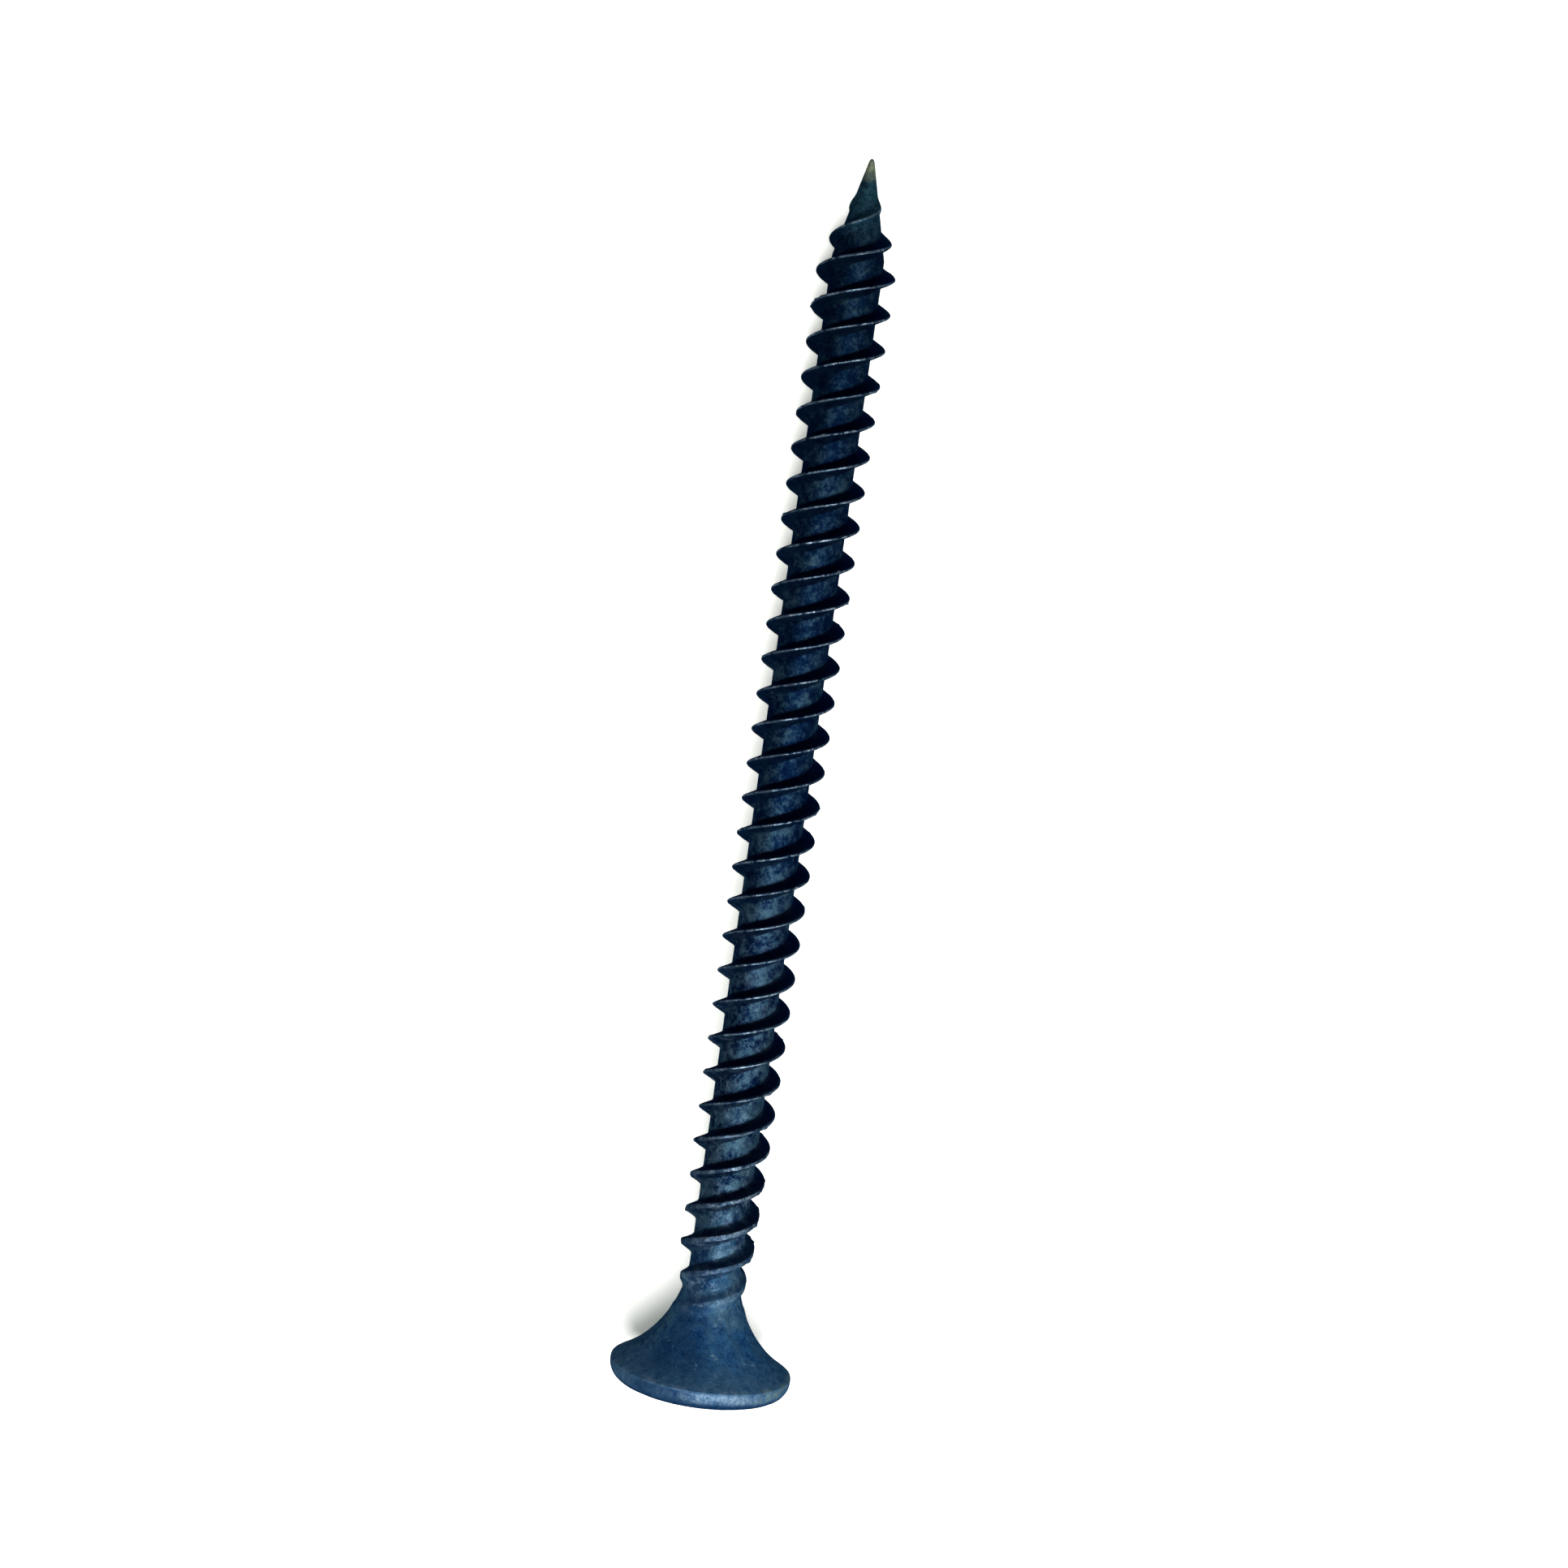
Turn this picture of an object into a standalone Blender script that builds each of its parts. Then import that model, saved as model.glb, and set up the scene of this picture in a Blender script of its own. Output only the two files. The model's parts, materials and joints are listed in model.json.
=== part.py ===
"""Drywall screw, 3.5 x 55 mm: bugle head, cross recess, twin fine thread, sharp point.

Metres, +Z up. The screw lies on the plane Z = 0 as it comes to rest, on the
edge of its head and on the thread near its point. The origin is under the
middle of its box, and +X runs from the head towards the point.
"""

import math

import bmesh
import bpy
from mathutils import Matrix, Vector

# Lengthwise places on the screw, measured from the flat of the head.
LENGTH = 0.055
RIM_HEIGHT = 0.0009
BUGLE_LENGTH = 0.0049
POINT_LENGTH = 0.0043

# Head.
HEAD_DIAMETER = 0.0082
RIM_ROUNDING = 0.0007

# Shank, thread and point.
CORE_DIAMETER = 0.0023
THREAD_DIAMETER = 0.0035
THREAD_PITCH = 0.001555
THREAD_STARTS = 2
CREST_FLAT = 0.00016
FLANK_ANGLE = math.radians(26.0)
THREAD_START = 0.0030
THREAD_RUN_IN = 0.0040
LOW_TURNS_END = 0.0140
LOWEST_SHARE = 0.70
THREAD_RUN_OUT = 0.0029
THREAD_TO_POINT = 0.0015
FIRST_CREST = 0.00028
TIP_RADIUS = 0.00009

# Cross recess, number 2 size.
RECESS_SPAN = 0.0047
RECESS_FLOOR_SPAN = 0.0023
RECESS_WING_DEPTH = 0.0024
RECESS_WING_WIDTH = 0.00115
RECESS_FLOOR_WIDTH = 0.00095
RECESS_CORNER_SPAN = 0.0026
RECESS_FLOOR_CORNER_SPAN = 0.0019
RECESS_FLOOR_ANGLE = math.radians(28.0)
CUT_CLEARANCE = 0.0004

# Faceting of the round forms. The facet that faces down is wider than the others.
SIDES = 32
RESTING_FACET = math.radians(16.0)
RIM_STEPS = 3
BUGLE_STEPS = 8
MERGE_DISTANCE = 0.00002

HEAD_RADIUS = HEAD_DIAMETER / 2
CORE_RADIUS = CORE_DIAMETER / 2
THREAD_DEPTH = (THREAD_DIAMETER - CORE_DIAMETER) / 2
THREAD_LEAD = THREAD_PITCH * THREAD_STARTS
THREAD_END = LENGTH - THREAD_TO_POINT
BUGLE_END = RIM_HEIGHT + BUGLE_LENGTH


def smooth_step(value):
    """Ease from 0 to 1 with level ends."""
    value = min(max(value, 0.0), 1.0)
    return value * value * (3.0 - 2.0 * value)


def bugle_radius(x):
    """Radius of the trumpet curve: an arc that runs out level on the core."""
    drop = HEAD_RADIUS - CORE_RADIUS
    arc = (BUGLE_LENGTH ** 2 + drop ** 2) / (2 * drop)
    along = BUGLE_END - x
    return CORE_RADIUS + arc - math.sqrt(max(arc ** 2 - along ** 2, 0.0))


def core_radius(x):
    """Radius of the bare blank under the thread, from the rim to the point."""
    if x < BUGLE_END:
        return bugle_radius(x)
    to_point = (LENGTH - x) / POINT_LENGTH
    return min(CORE_RADIUS, TIP_RADIUS + (CORE_RADIUS - TIP_RADIUS) * to_point)


def thread_share(x):
    """Share of the full thread depth: it fades in at the neck and out on the point.

    The turns next to the neck are rolled a little low.
    """
    run_in = smooth_step((x - THREAD_START) / THREAD_RUN_IN)
    rolled = LOWEST_SHARE + (1.0 - LOWEST_SHARE) * x / LOW_TURNS_END
    run_out = max((THREAD_END - x) / THREAD_RUN_OUT, 0.0)
    return min(run_in, rolled, run_out, 1.0)


def thread_edges():
    """The four edges of one thread's section: root, crest, crest, root, with their rise."""
    half_crest = CREST_FLAT / 2
    half_base = half_crest + THREAD_DEPTH * math.tan(FLANK_ANGLE)
    return ((-half_base, 0.0), (-half_crest, THREAD_DEPTH),
            (half_crest, THREAD_DEPTH), (half_base, 0.0))


def side_angle(side):
    """Angle of a lengthwise edge about +X, from +Y. The last facet closes the turn, facing down."""
    first = (RESTING_FACET - math.pi) / 2
    return first + (2 * math.pi - RESTING_FACET) * side / (SIDES - 1)


def point_at(x, radius, side):
    """Point of the blank's surface in the screw's own frame, axis along +X."""
    angle = side_angle(side)
    return Vector((x, radius * math.cos(angle), radius * math.sin(angle)))


def ring(mesh, x, radius):
    """One turned ring of points."""
    return [mesh.verts.new(point_at(x, radius, side)) for side in range(SIDES)]


def join_rings(mesh, first, second):
    """Skin between two rings, the first nearer the head."""
    for side in range(SIDES):
        after = (side + 1) % SIDES
        mesh.faces.new((first[side], second[side], second[after], first[after]))


def thread_rows():
    """Lengthwise places of the thread's edges at angle zero, with their rise, in order."""
    first = math.floor((THREAD_START - THREAD_LEAD) / THREAD_PITCH) - 1
    last = math.ceil(THREAD_END / THREAD_PITCH) + 1
    rows = []
    for turn in range(first, last):
        for offset, rise in thread_edges():
            rows.append((FIRST_CREST + turn * THREAD_PITCH + offset, rise))
    return rows


def build_thread(mesh):
    """Skin of the threaded length, on helical rows that follow the thread's edges.

    Each column starts on a ring at the neck and ends on a ring near the point.
    Returns both rings.
    """
    rows = thread_rows()
    rows_in_a_turn = len(thread_edges()) * THREAD_STARTS
    points = {}

    def vertex(side, row):
        if side == SIDES:
            side = 0
            row = min(row + rows_in_a_turn, len(rows) - 1)
        place, rise = rows[row]
        x = place + THREAD_LEAD * side_angle(side) / (2 * math.pi)
        if x < THREAD_START + MERGE_DISTANCE:
            x = THREAD_START
        if x > THREAD_END - MERGE_DISTANCE:
            x = THREAD_END
        key = (side, x)
        if key not in points:
            radius = core_radius(x) + rise * thread_share(x)
            points[key] = mesh.verts.new(point_at(x, radius, side))
        return points[key]

    for side in range(SIDES):
        for row in range(len(rows) - 1):
            corners = (vertex(side, row), vertex(side, row + 1),
                       vertex(side + 1, row + 1), vertex(side + 1, row))
            kept = list(dict.fromkeys(corners))
            if len(kept) > 2:
                mesh.faces.new(kept)
    start_ring = [points[(side, THREAD_START)] for side in range(SIDES)]
    end_ring = [points[(side, THREAD_END)] for side in range(SIDES)]
    return start_ring, end_ring


def rim_profile():
    """Rounded edge of the flat: place and radius of its rings, out to the full radius."""
    profile = []
    for step in range(RIM_STEPS + 1):
        angle = math.pi / 2 * step / RIM_STEPS
        profile.append((RIM_ROUNDING * (1 - math.cos(angle)),
                        HEAD_RADIUS - RIM_ROUNDING * (1 - math.sin(angle))))
    return profile


def build_head(mesh, neck_ring):
    """Flat top, rounded rim and trumpet curve, down to the ring where the thread starts."""
    profile = rim_profile()
    for step in range(BUGLE_STEPS):
        x = RIM_HEIGHT + (THREAD_START - RIM_HEIGHT) * step / BUGLE_STEPS
        profile.append((x, bugle_radius(x)))
    rings = [ring(mesh, x, radius) for x, radius in profile]
    rings.append(neck_ring)
    for first, second in zip(rings, rings[1:]):
        join_rings(mesh, first, second)
    mesh.faces.new(rings[0])


def build_point(mesh, last_ring):
    """Bare cone past the thread, with a slightly blunt tip."""
    tip_ring = ring(mesh, LENGTH - TIP_RADIUS, TIP_RADIUS)
    join_rings(mesh, last_ring, tip_ring)
    apex = mesh.verts.new((LENGTH, 0.0, 0.0))
    for side in range(SIDES):
        mesh.faces.new((tip_ring[side], apex, tip_ring[(side + 1) % SIDES]))


def object_from(mesh, name):
    """Object from a bmesh, with its faces turned outwards."""
    bmesh.ops.recalc_face_normals(mesh, faces=mesh.faces)
    data = bpy.data.meshes.new(name)
    mesh.to_mesh(data)
    mesh.free()
    made = bpy.data.objects.new(name, data)
    bpy.context.scene.collection.objects.link(made)
    return made


def cross_outline(span, width, corner_span):
    """Cross with cut inner corners: two points on each wing's end, two on each corner."""
    half_width = width / 2
    corner = corner_span / 2
    outline = []
    for wing in range(4):
        turn = Matrix.Rotation(wing * math.pi / 2, 2)
        outline.append(turn @ Vector((corner, -half_width)))
        outline.append(turn @ Vector((span / 2, -half_width)))
        outline.append(turn @ Vector((span / 2, half_width)))
        outline.append(turn @ Vector((corner, half_width)))
    return outline


def build_recess_cutter():
    """Solid that cuts the cross recess: a tapering cross, down to a shallow cone."""
    taper = (RECESS_SPAN - RECESS_FLOOR_SPAN) / RECESS_WING_DEPTH
    width_taper = (RECESS_WING_WIDTH - RECESS_FLOOR_WIDTH) / RECESS_WING_DEPTH
    corner_taper = (RECESS_CORNER_SPAN - RECESS_FLOOR_CORNER_SPAN) / RECESS_WING_DEPTH
    mesh = bmesh.new()
    levels = []
    for x in (-CUT_CLEARANCE, RECESS_WING_DEPTH):
        outline = cross_outline(RECESS_SPAN - taper * x,
                                RECESS_WING_WIDTH - width_taper * x,
                                RECESS_CORNER_SPAN - corner_taper * x)
        levels.append([mesh.verts.new((x, y, z)) for y, z in outline])
    top, floor = levels
    count = len(top)
    for index in range(count):
        after = (index + 1) % count
        mesh.faces.new((top[index], floor[index], floor[after], top[after]))
    depth = RECESS_FLOOR_SPAN / 2 * math.tan(RECESS_FLOOR_ANGLE)
    apex = mesh.verts.new((RECESS_WING_DEPTH + depth, 0.0, 0.0))
    for index in range(count):
        mesh.faces.new((floor[index], apex, floor[(index + 1) % count]))
    mesh.faces.new(top)
    cutter = object_from(mesh, "recess_cutter")
    cutter.hide_render = True
    cutter.display_type = "WIRE"
    return cutter


def rest_tilt(points):
    """Turn about Y that lowers the point until the thread touches what the rim lies on."""
    heel_x = RIM_HEIGHT
    heel_z = min(point.z for point in points)
    return min(math.atan2(point.z - heel_z, point.x - heel_x)
               for point in points if point.x > BUGLE_END)


def black_phosphate():
    """Dark blue-black phosphate coat with a satin sheen."""
    material = bpy.data.materials.new("black_phosphate")
    material.use_nodes = True
    shader = material.node_tree.nodes["Principled BSDF"]
    shader.inputs["Base Color"].default_value = (0.022, 0.040, 0.062, 1.0)
    shader.inputs["Roughness"].default_value = 0.45
    shader.inputs["Metallic"].default_value = 0.6
    return material


def build_screw():
    """The whole screw as one solid, in its own frame, with the recess cut."""
    mesh = bmesh.new()
    neck_ring, last_ring = build_thread(mesh)
    build_head(mesh, neck_ring)
    build_point(mesh, last_ring)
    screw = object_from(mesh, "drywall_screw")
    screw.data.materials.append(black_phosphate())
    screw.data.shade_smooth()
    screw.data.set_sharp_from_angle(angle=math.radians(20.0))
    cut = screw.modifiers.new("cross_recess", "BOOLEAN")
    cut.operation = "DIFFERENCE"
    cut.solver = "EXACT"
    cut.object = build_recess_cutter()
    return screw


def lay_down(screw):
    """Lay the screw on Z = 0, with the middle of its box over the origin."""
    points = [vertex.co.copy() for vertex in screw.data.vertices]
    turn = Matrix.Rotation(rest_tilt(points), 4, "Y")
    laid = [turn @ point for point in points]
    middle_x = (min(point.x for point in laid) + max(point.x for point in laid)) / 2
    middle_y = (min(point.y for point in laid) + max(point.y for point in laid)) / 2
    lowest = min(point.z for point in laid)
    place = Matrix.Translation((-middle_x, -middle_y, -lowest)) @ turn
    screw.matrix_world = place
    cutter = screw.modifiers["cross_recess"].object
    cutter.matrix_world = place


def clear_scene():
    """Start from an empty scene."""
    for old in list(bpy.data.objects):
        bpy.data.objects.remove(old, do_unlink=True)


clear_scene()
lay_down(build_screw())
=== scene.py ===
"""Looks of a black phosphate drywall screw lying on a pale table, seen from above."""

import json
import math

import bmesh
import bpy
from mathutils import Matrix, Vector

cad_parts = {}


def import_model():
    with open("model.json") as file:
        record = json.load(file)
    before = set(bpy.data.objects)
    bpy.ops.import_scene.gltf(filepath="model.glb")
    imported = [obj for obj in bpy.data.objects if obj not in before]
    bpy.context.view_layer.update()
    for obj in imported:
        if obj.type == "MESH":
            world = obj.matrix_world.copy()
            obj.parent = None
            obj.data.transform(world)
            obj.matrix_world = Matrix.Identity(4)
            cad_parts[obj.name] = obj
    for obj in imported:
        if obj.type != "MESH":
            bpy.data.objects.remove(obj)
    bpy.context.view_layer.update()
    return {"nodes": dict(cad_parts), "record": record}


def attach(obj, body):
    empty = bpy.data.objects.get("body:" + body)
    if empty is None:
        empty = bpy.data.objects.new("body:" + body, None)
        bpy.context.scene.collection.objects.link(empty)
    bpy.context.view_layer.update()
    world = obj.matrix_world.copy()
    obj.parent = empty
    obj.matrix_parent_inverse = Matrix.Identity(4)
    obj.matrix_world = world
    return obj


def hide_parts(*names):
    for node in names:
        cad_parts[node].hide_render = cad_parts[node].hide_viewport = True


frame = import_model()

# Sizes of the screw in metres, lengthwise places from the flat of the head. The thread's
# starts are a count, and its lowest share is a share of its full depth.
MM = 0.001
SCREW_SIZES = {
    "length": 55.0 * MM,
    "head radius": 4.1 * MM,
    "rim height": 0.9 * MM,
    "rim rounding": 0.7 * MM,
    "rim edge softness": 0.10 * MM,
    "bugle length": 4.9 * MM,
    "core radius": 1.15 * MM,
    "thread depth": 0.60 * MM,
    "thread pitch": 1.555 * MM,
    "thread starts": 2.0,
    "crest flat": 0.07 * MM,
    "raw crest flat": 0.26 * MM,
    "raw crest end": 13.0 * MM,
    "flank width": 0.30 * MM,
    "first crest": 0.28 * MM,
    "neck": 3.0 * MM,
    "run in": 4.0 * MM,
    "low turns end": 14.0 * MM,
    "lowest share": 0.70,
    "thread end": 53.5 * MM,
    "run out": 2.9 * MM,
    "point length": 4.3 * MM,
    "tip radius": 0.09 * MM,
    "dent depth": 0.035 * MM,
    "chip depth": 0.30 * MM,
}

# The skin's grid: columns round the axis, rows along it, closer at the crests, rim and tip.
COLUMNS = 96
ROWS_PER_PITCH = 18
ROW_GATHERING = 0.55
SPARE_PITCHES = 2
HEAD_ROWS = 56
HEAD_ROW_POWER = 1.7
POINT_ROWS = 20
POINT_ROW_POWER = 1.8
WELD_DISTANCE = 0.0015 * MM
SHARP_EDGE = math.radians(38.0)

# Rows of the shank, which reach past both its ends because they follow the helix.
THREADED_PITCHES = (SCREW_SIZES["thread end"] - SCREW_SIZES["neck"]) / SCREW_SIZES["thread pitch"]
SHANK_PITCHES = math.ceil(THREADED_PITCHES + SCREW_SIZES["thread starts"] + SPARE_PITCHES)
SHANK_ROWS = SHANK_PITCHES * ROWS_PER_PITCH

# Form of the thread's flanks, the share of full height over which the worn edge fades in, and
# how far past a crest, towards the tip, the painted shade on its tipward flank begins and ends.
FLANK_STRAIGHT_SHARE = 0.55
EDGE_FADE_IN = (0.02, 0.15)
PAINTED_SHADE_BEGIN = (0.04 * MM, 0.09 * MM)
PAINTED_SHADE_END = (0.32 * MM, 0.46 * MM)

# Uneven forging as noise: scale per metre, detail, seed and share. Chips, a noise too, break
# the crests, and are held back past the first turns.
NOISE_SEED = 7.0
FORGING = ((450.0, 2.0, 0.0, 0.5), (1700.0, 2.0, 3.0, 0.3), (4200.0, 1.0, 5.0, 0.2))
CHIPPING = (2800.0, 3.0, 9.0)
CHIPS_HELD_BACK = 0.26
CHIPPED_CREST = (0.5, 1.0)

# Cross recess, number 2 size: depth, span, wing width and corner span of each level.
RECESS_LEVELS = (
    (0.00 * MM, 5.04 * MM, 1.46 * MM, 2.92 * MM),
    (0.00 * MM, 4.90 * MM, 1.32 * MM, 2.78 * MM),
    (0.03 * MM, 4.78 * MM, 1.21 * MM, 2.67 * MM),
    (0.10 * MM, 4.67 * MM, 1.15 * MM, 2.60 * MM),
    (1.20 * MM, 3.55 * MM, 1.05 * MM, 2.26 * MM),
    (2.28 * MM, 2.42 * MM, 0.96 * MM, 1.93 * MM),
    (2.40 * MM, 2.22 * MM, 0.90 * MM, 1.80 * MM),
)
RECESS_MOUTH_LEVELS = (1, 2)
RECESS_CORNER_ROUND = 0.14 * MM
RECESS_CORNER_POINTS = 4
RECESS_DEPTH = 2.95 * MM
TOP_RING_RADII = (3.2 * MM, 2.95 * MM, 2.72 * MM)

# Colours of the finish, as linear red, green and blue.
COAT = {
    "night": (0.0010, 0.0060, 0.0300, 1.0),
    "navy": (0.0050, 0.0220, 0.0620, 1.0),
    "steel blue": (0.0440, 0.0980, 0.1400, 1.0),
    "head blue": (0.0340, 0.1420, 0.3100, 1.0),
    "head navy": (0.0035, 0.0340, 0.1200, 1.0),
    # Painted shade on the head and its rim.
    "painted shade": (0.0015, 0.0200, 0.0850, 1.0),
    # Painted light on the flare of the head.
    "painted flare light": (0.1000, 0.2250, 0.3650, 1.0),
    "teal grey": (0.0850, 0.1850, 0.2450, 1.0),
    "teal black": (0.0008, 0.0050, 0.0110, 1.0),
    "point teal": (0.0300, 0.1000, 0.1350, 1.0),
    # Painted shade on the tipward flanks.
    "painted flank shade": (0.0003, 0.0014, 0.0130, 1.0),
    "worn steel": (0.1600, 0.2500, 0.3400, 1.0),
    # Painted glints on the worn crests.
    "painted glint steel": (0.4700, 0.6200, 0.7500, 1.0),
    # Rubbed rim, partly a painted highlight.
    "rubbed rim and painted highlight": (0.2800, 0.4000, 0.5400, 1.0),
    "pale green": (0.3000, 0.4100, 0.2900, 1.0),
    "smear": (0.2400, 0.3900, 0.5200, 1.0),
    "dust": (0.4200, 0.4900, 0.5200, 1.0),
    # Worn point, its brassy tone partly a painted highlight.
    "worn point and painted highlight": (0.3300, 0.3800, 0.2400, 1.0),
}
EDGE_TINT = (0.30, 0.50, 0.80, 1.0)

# Noise of the finishes: scale per millimetre, detail, roughness and seed.
PATTERNS = {
    "cloud": (1.1, 3.0, 0.60, 1.0),
    "grain": (3.6, 4.0, 0.80, 2.0),
    "fine": (9.0, 3.0, 0.70, 3.0),
    "crest breaks": (2.8, 4.0, 0.75, 4.0),
    "rim patches": (1.3, 5.0, 0.75, 5.0),
    "dusty": (0.7, 1.0, 0.50, 7.0),
    "ragged": (7.0, 2.0, 0.70, 8.0),
    "bare point": (4.0, 3.0, 0.70, 9.0),
    "ridge breaks": (1.1, 3.0, 0.70, 12.0),
    "glint": (4.5, 2.0, 0.60, 14.0),
    "rubbed trumpet": (0.8, 5.0, 0.75, 15.0),
    "crystals": (4.5, 5.0, 0.85, 16.0),
    "rim crumbs": (4.0, 4.0, 0.85, 17.0),
    "flare": (2.4, 5.0, 0.80, 18.0),
    "mouth breaks": (2.6, 4.0, 0.75, 19.0),
    "rubs": (1.7, 5.0, 0.85, 20.0),
    "table grain": (6.0, 2.0, 0.50, 1.0),
}

# Levels of a noise, or of a number that the skin carries, between which a layer begins and
# is full. Those that have a pattern's name belong to its patches.
LEVELS = {
    "cloud": (0.42, 0.60),
    "grain": (0.42, 0.60),
    "painted shade": (0.30, 0.55),
    "cone": (0.36, 0.62),
    "crest breaks": (0.40, 0.54),
    "rim patches": (0.48, 0.60),
    "dusty": (0.46, 0.54),
    "bare point": (0.30, 0.55),
    "ridge breaks": (0.44, 0.58),
    "glint": (0.50, 0.60),
    "rubbed trumpet": (0.46, 0.62),
    "crystals": (0.44, 0.58),
    "rim crumbs": (0.40, 0.58),
    "flare": (0.36, 0.60),
    "mouth breaks": (0.38, 0.58),
    "smears": (0.50, 0.62),
    "flecks": (0.60, 0.68),
    "navy": (0.00, 0.50),
    "pale": (0.40, 0.95),
    "root end": (0.02, 0.30),
    "bare edge": (0.94, 0.99),
    "worn mouth": (0.45, 0.90),
    "speck end": (0.10, 0.17),
}

# Places along the screw as shares of its length, from the flat of the head to the tip. Each
# is a pair, because one zone gives way to the next over a little distance.
PLACES = {
    "edge": (0.0002, 0.0012),
    "band": (0.0010, 0.0040),
    "edge end": (0.0040, 0.0090),
    "rubbed band": (0.0060, 0.0095),
    "rubbed band end": (0.0140, 0.0160),
    "painted_ridge_line": (0.0145, 0.0162),
    "band end": (0.0145, 0.0175),
    "ridge end": (0.0170, 0.0188),
    "dented head end": (0.0120, 0.0400),
    "painted shade on trumpet": (0.0140, 0.0300),
    "flecked trumpet": (0.0170, 0.0220),
    "flare end": (0.0180, 0.0360),
    "neck": (0.0300, 0.0700),
    "head end": (0.0500, 0.1600),
    "first turns": (0.0550, 0.0850),
    "flecks end": (0.0700, 0.1000),
    "broken crests end": (0.0800, 0.3500),
    "worn crests": (0.1200, 0.3000),
    "smears end": (0.2000, 0.4500),
    "pale turns end": (0.3000, 0.5000),
    "dark turns": (0.3500, 0.9000),
    "cone": (0.9350, 0.9650),
    "bare point": (0.9800, 0.9910),
}

# Sides of the screw as the cosine of the turn from its left, where it is 1, to its right.
# Where painted shade runs down the left middle of the head.
LEFT_MIDDLE = (-0.05, 0.28)
LEFT_MIDDLE_END = (0.72, 0.92)
# Where painted light lies on the far left of the head.
PAINTED_LIGHT_LEFT = (0.76, 0.94)

# The scuffed part of the rim, which also carries painted highlight, and the end of its green
# tint, from right to left of the axis in millimetres.
SCUFF_BEGIN = (-4.2, -1.5)
SCUFF_END = (-0.3, 1.8)
GREEN_END = (-3.0, -1.9)

# Strength of the layers of the finish, from 0 to 1 where a layer hides what lies below it.
STRENGTHS = {
    "head coat": 0.85,
    "flare": 0.75,
    "painted left light": 0.70,
    "band painted shade": 0.60,
    "edge painted shade": 0.85,
    "dark turns": 0.60,
    "painted_flank_shade": 0.85,
    "steel": 0.90,
    "mouth": 0.65,
    "rim": 0.85,
    "painted_ridge_line": 0.40,
    "smears": 0.35,
    "flecks": 0.60,
    "dust": 0.55,
    "worn point and painted highlight": 0.85,
}

# What a share from 0 to 1 is brought to, least and most.
RANGES = {
    "dents": (0.50, 1.40),
    "paler root": (0.15, 0.90),
    "rubbed trumpet": (0.20, 0.70),
    "painted shade": (0.28, 0.68),
    "cone": (0.15, 0.70),
    "worn crests": (0.25, 0.87),
    "scuffed rim and painted highlight": (0.15, 1.00),
    "metallic": (0.30, 0.72),
    "roughness": (0.40, 0.64),
}

# What one pattern or place adds to another, and what bare metal does to the shine.
CLOUD_SHARE = 0.40
CRYSTAL_SHARE = 0.65
FIRST_TURNS_LIGHT = 0.22
SCUFF_SPREAD = 0.12
BARE_SHARES = {"rim": 0.3, "point": 0.3, "mouth": 0.6}
BARE_METALLIC = 0.28
BARE_SMOOTHNESS = 0.18

# Specks of dust: scale per millimetre, seed, and how ragged their outline is.
SPECK_SCALE = 1.10
SPECK_SEED = 6.0
SPECK_RAGGEDNESS = 0.12

# Bumps of the finishes: heights, and strengths from 0 to 1.
CRYSTAL_HEIGHT = 0.014 * MM
PIT_HEIGHT = 0.07 * MM
COAT_BUMP = 0.9
TABLE_GRAIN_HEIGHT = 0.01 * MM
TABLE_BUMP = 0.2

# Sockets of a Mix node for colours: its factor, its two colours and its result.
MIX_FACTOR = 0
MIX_BELOW = 6
MIX_ABOVE = 7
MIX_RESULT = 2

# The photograph: its frame, the foot of its plumb line and the camera's height over the table.
PHOTO_WIDTH = 1932
PHOTO_FOCAL_PIXELS = 2140.0
CAMERA_HEIGHT = 132.5 * MM
HEAD_TO_CAMERA_FOOT = 46.5 * MM
CAMERA_LEFT_OF_AXIS = 16.8 * MM
CROP_ZOOM = 1.72
SENSOR_WIDTH = 36.0
SCREW_LEAN = math.radians(8.4)
AIM_HEIGHT = 3.0 * MM
NEAREST_SEEN = 1.0 * MM

# The table: round, dim to reflected light, and bright to the camera, so that it whitens out.
TABLE_RADIUS = 0.32
TABLE_SIDES = 64
TABLE_ROUGHNESS = 0.8
TABLE_REFLECTED = (0.20, 0.21, 0.23, 1.0)
TABLE_SEEN = (1.56, 1.56, 1.50, 1.0)
TABLE_GLOW = (0.93, 1.0, 0.88, 1.0)
TABLE_GLOW_STRENGTH = 0.22

# Soft round lamps, with sizes and places in metres and power in watts.
LAMPS = {
    "ceiling_light": {"size": 0.34, "place": (-0.09, 0.012, 0.44), "power": 2.25},
    "window_light": {"size": 0.25, "place": (-0.06, -0.33, 0.27), "power": 0.50},
}
ROOM_COLOUR = (0.93, 0.97, 1.0, 1.0)
ROOM_STRENGTH = 0.15
BACKDROP = (1.0, 1.0, 1.0, 1.0)


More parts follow.
